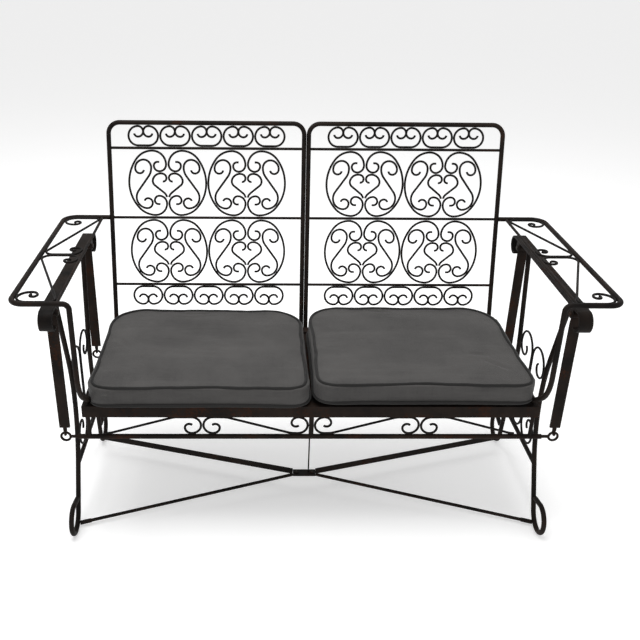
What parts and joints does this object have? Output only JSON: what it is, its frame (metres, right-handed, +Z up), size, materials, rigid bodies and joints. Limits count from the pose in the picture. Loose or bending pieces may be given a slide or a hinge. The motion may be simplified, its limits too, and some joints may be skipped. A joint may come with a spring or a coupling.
{
  "type": "glider settee",
  "caption": "Wrought-iron porch glider settee with scrollwork back and arms, loose seat cushions, and a seat unit that swings on flat hangers from a fixed stand.",
  "frame": {"origin": "on the floor, under the middle of the part's bounding box", "axes": "+X to the right seen from the front, along the settee's length; -Y is the front; +Z up"},
  "size_m": [1.3768, 0.6472, 0.9621],
  "materials": {
    "weathered_iron": "weathered satin, near-black brown",
    "black_scrollwork": "satin black",
    "rusty_iron": "dark paint with rust showing through",
    "worn_steel": "worn and slightly rusty",
    "cushion_fabric": "charcoal woven cover with a slight sheen"
  },
  "bodies": {
    "stand": {"left_top_bar": "weathered_iron", "right_top_bar": "weathered_iron", "hanger_lugs": "weathered_iron", "hanger_pins": "worn_steel", "front_left_leg": "weathered_iron", "front_right_leg": "weathered_iron", "rear_left_leg": "weathered_iron", "rear_right_leg": "weathered_iron", "left_side_stretcher": "weathered_iron", "right_side_stretcher": "weathered_iron", "left_side_scrolls": "black_scrollwork", "right_side_scrolls": "black_scrollwork", "front_left_stretcher": "weathered_iron", "front_right_stretcher": "weathered_iron", "rear_left_stretcher": "weathered_iron", "rear_right_stretcher": "weathered_iron", "crossing_plate": "weathered_iron", "crossing_rivets": "worn_steel", "centre_stay": "black_scrollwork"},
    "hanger_front_left": {"front_left_hanger": "rusty_iron"},
    "hanger_front_right": {"front_right_hanger": "rusty_iron"},
    "hanger_rear_left": {"rear_left_hanger": "rusty_iron"},
    "hanger_rear_right": {"rear_right_hanger": "rusty_iron"},
    "seat": {"left_back_frame": "weathered_iron", "right_back_frame": "weathered_iron", "left_back_rails": "weathered_iron", "right_back_rails": "weathered_iron", "left_crest_scrolls": "black_scrollwork", "right_crest_scrolls": "black_scrollwork", "left_upper_medallions": "black_scrollwork", "right_upper_medallions": "black_scrollwork", "left_lower_medallions": "black_scrollwork", "right_lower_medallions": "black_scrollwork", "left_foot_scrolls": "black_scrollwork", "right_foot_scrolls": "black_scrollwork", "left_arm_frame": "weathered_iron", "right_arm_frame": "weathered_iron", "left_arm_rail": "weathered_iron", "right_arm_rail": "weathered_iron", "left_arm_scrolls": "black_scrollwork", "right_arm_scrolls": "black_scrollwork", "front_seat_rail": "rusty_iron", "rear_seat_rail": "rusty_iron", "left_seat_rail": "rusty_iron", "right_seat_rail": "rusty_iron", "centre_seat_bar": "rusty_iron", "deck_bands": "rusty_iron", "front_lower_bar": "rusty_iron", "rear_lower_bar": "rusty_iron", "front_posts": "weathered_iron", "rear_posts": "weathered_iron", "left_apron_scrolls": "black_scrollwork", "right_apron_scrolls": "black_scrollwork", "left_cushion": "cushion_fabric", "right_cushion": "cushion_fabric"}
  },
  "joints": [
    {"name": "front_left_swing", "type": "hinge", "parent": "stand", "child": "hanger_front_left", "pos_m": [-0.613, -0.239, 0.64], "axis": [1, 0, 0], "range_deg": [-13, 13]},
    {"name": "front_right_swing", "type": "hinge", "parent": "stand", "child": "hanger_front_right", "pos_m": [0.613, -0.239, 0.64], "axis": [1, 0, 0], "range_deg": [-13, 13]},
    {"name": "rear_left_swing", "type": "hinge", "parent": "stand", "child": "hanger_rear_left", "pos_m": [-0.613, 0.189, 0.64], "axis": [1, 0, 0], "range_deg": [-13, 13]},
    {"name": "rear_right_swing", "type": "hinge", "parent": "stand", "child": "hanger_rear_right", "pos_m": [0.613, 0.189, 0.64], "axis": [1, 0, 0], "range_deg": [-13, 13]},
    {"name": "seat_level", "type": "hinge", "parent": "hanger_front_left", "child": "seat", "pos_m": [-0.613, -0.239, 0.3075], "axis": [1, 0, 0], "range_deg": [-13, 13]}
  ],
  "couplings": [
    {"joint": "front_right_swing", "follows": "front_left_swing", "ratio": 1},
    {"joint": "rear_left_swing", "follows": "front_left_swing", "ratio": 1},
    {"joint": "rear_right_swing", "follows": "front_left_swing", "ratio": 1},
    {"joint": "seat_level", "follows": "front_left_swing", "ratio": -1}
  ]
}
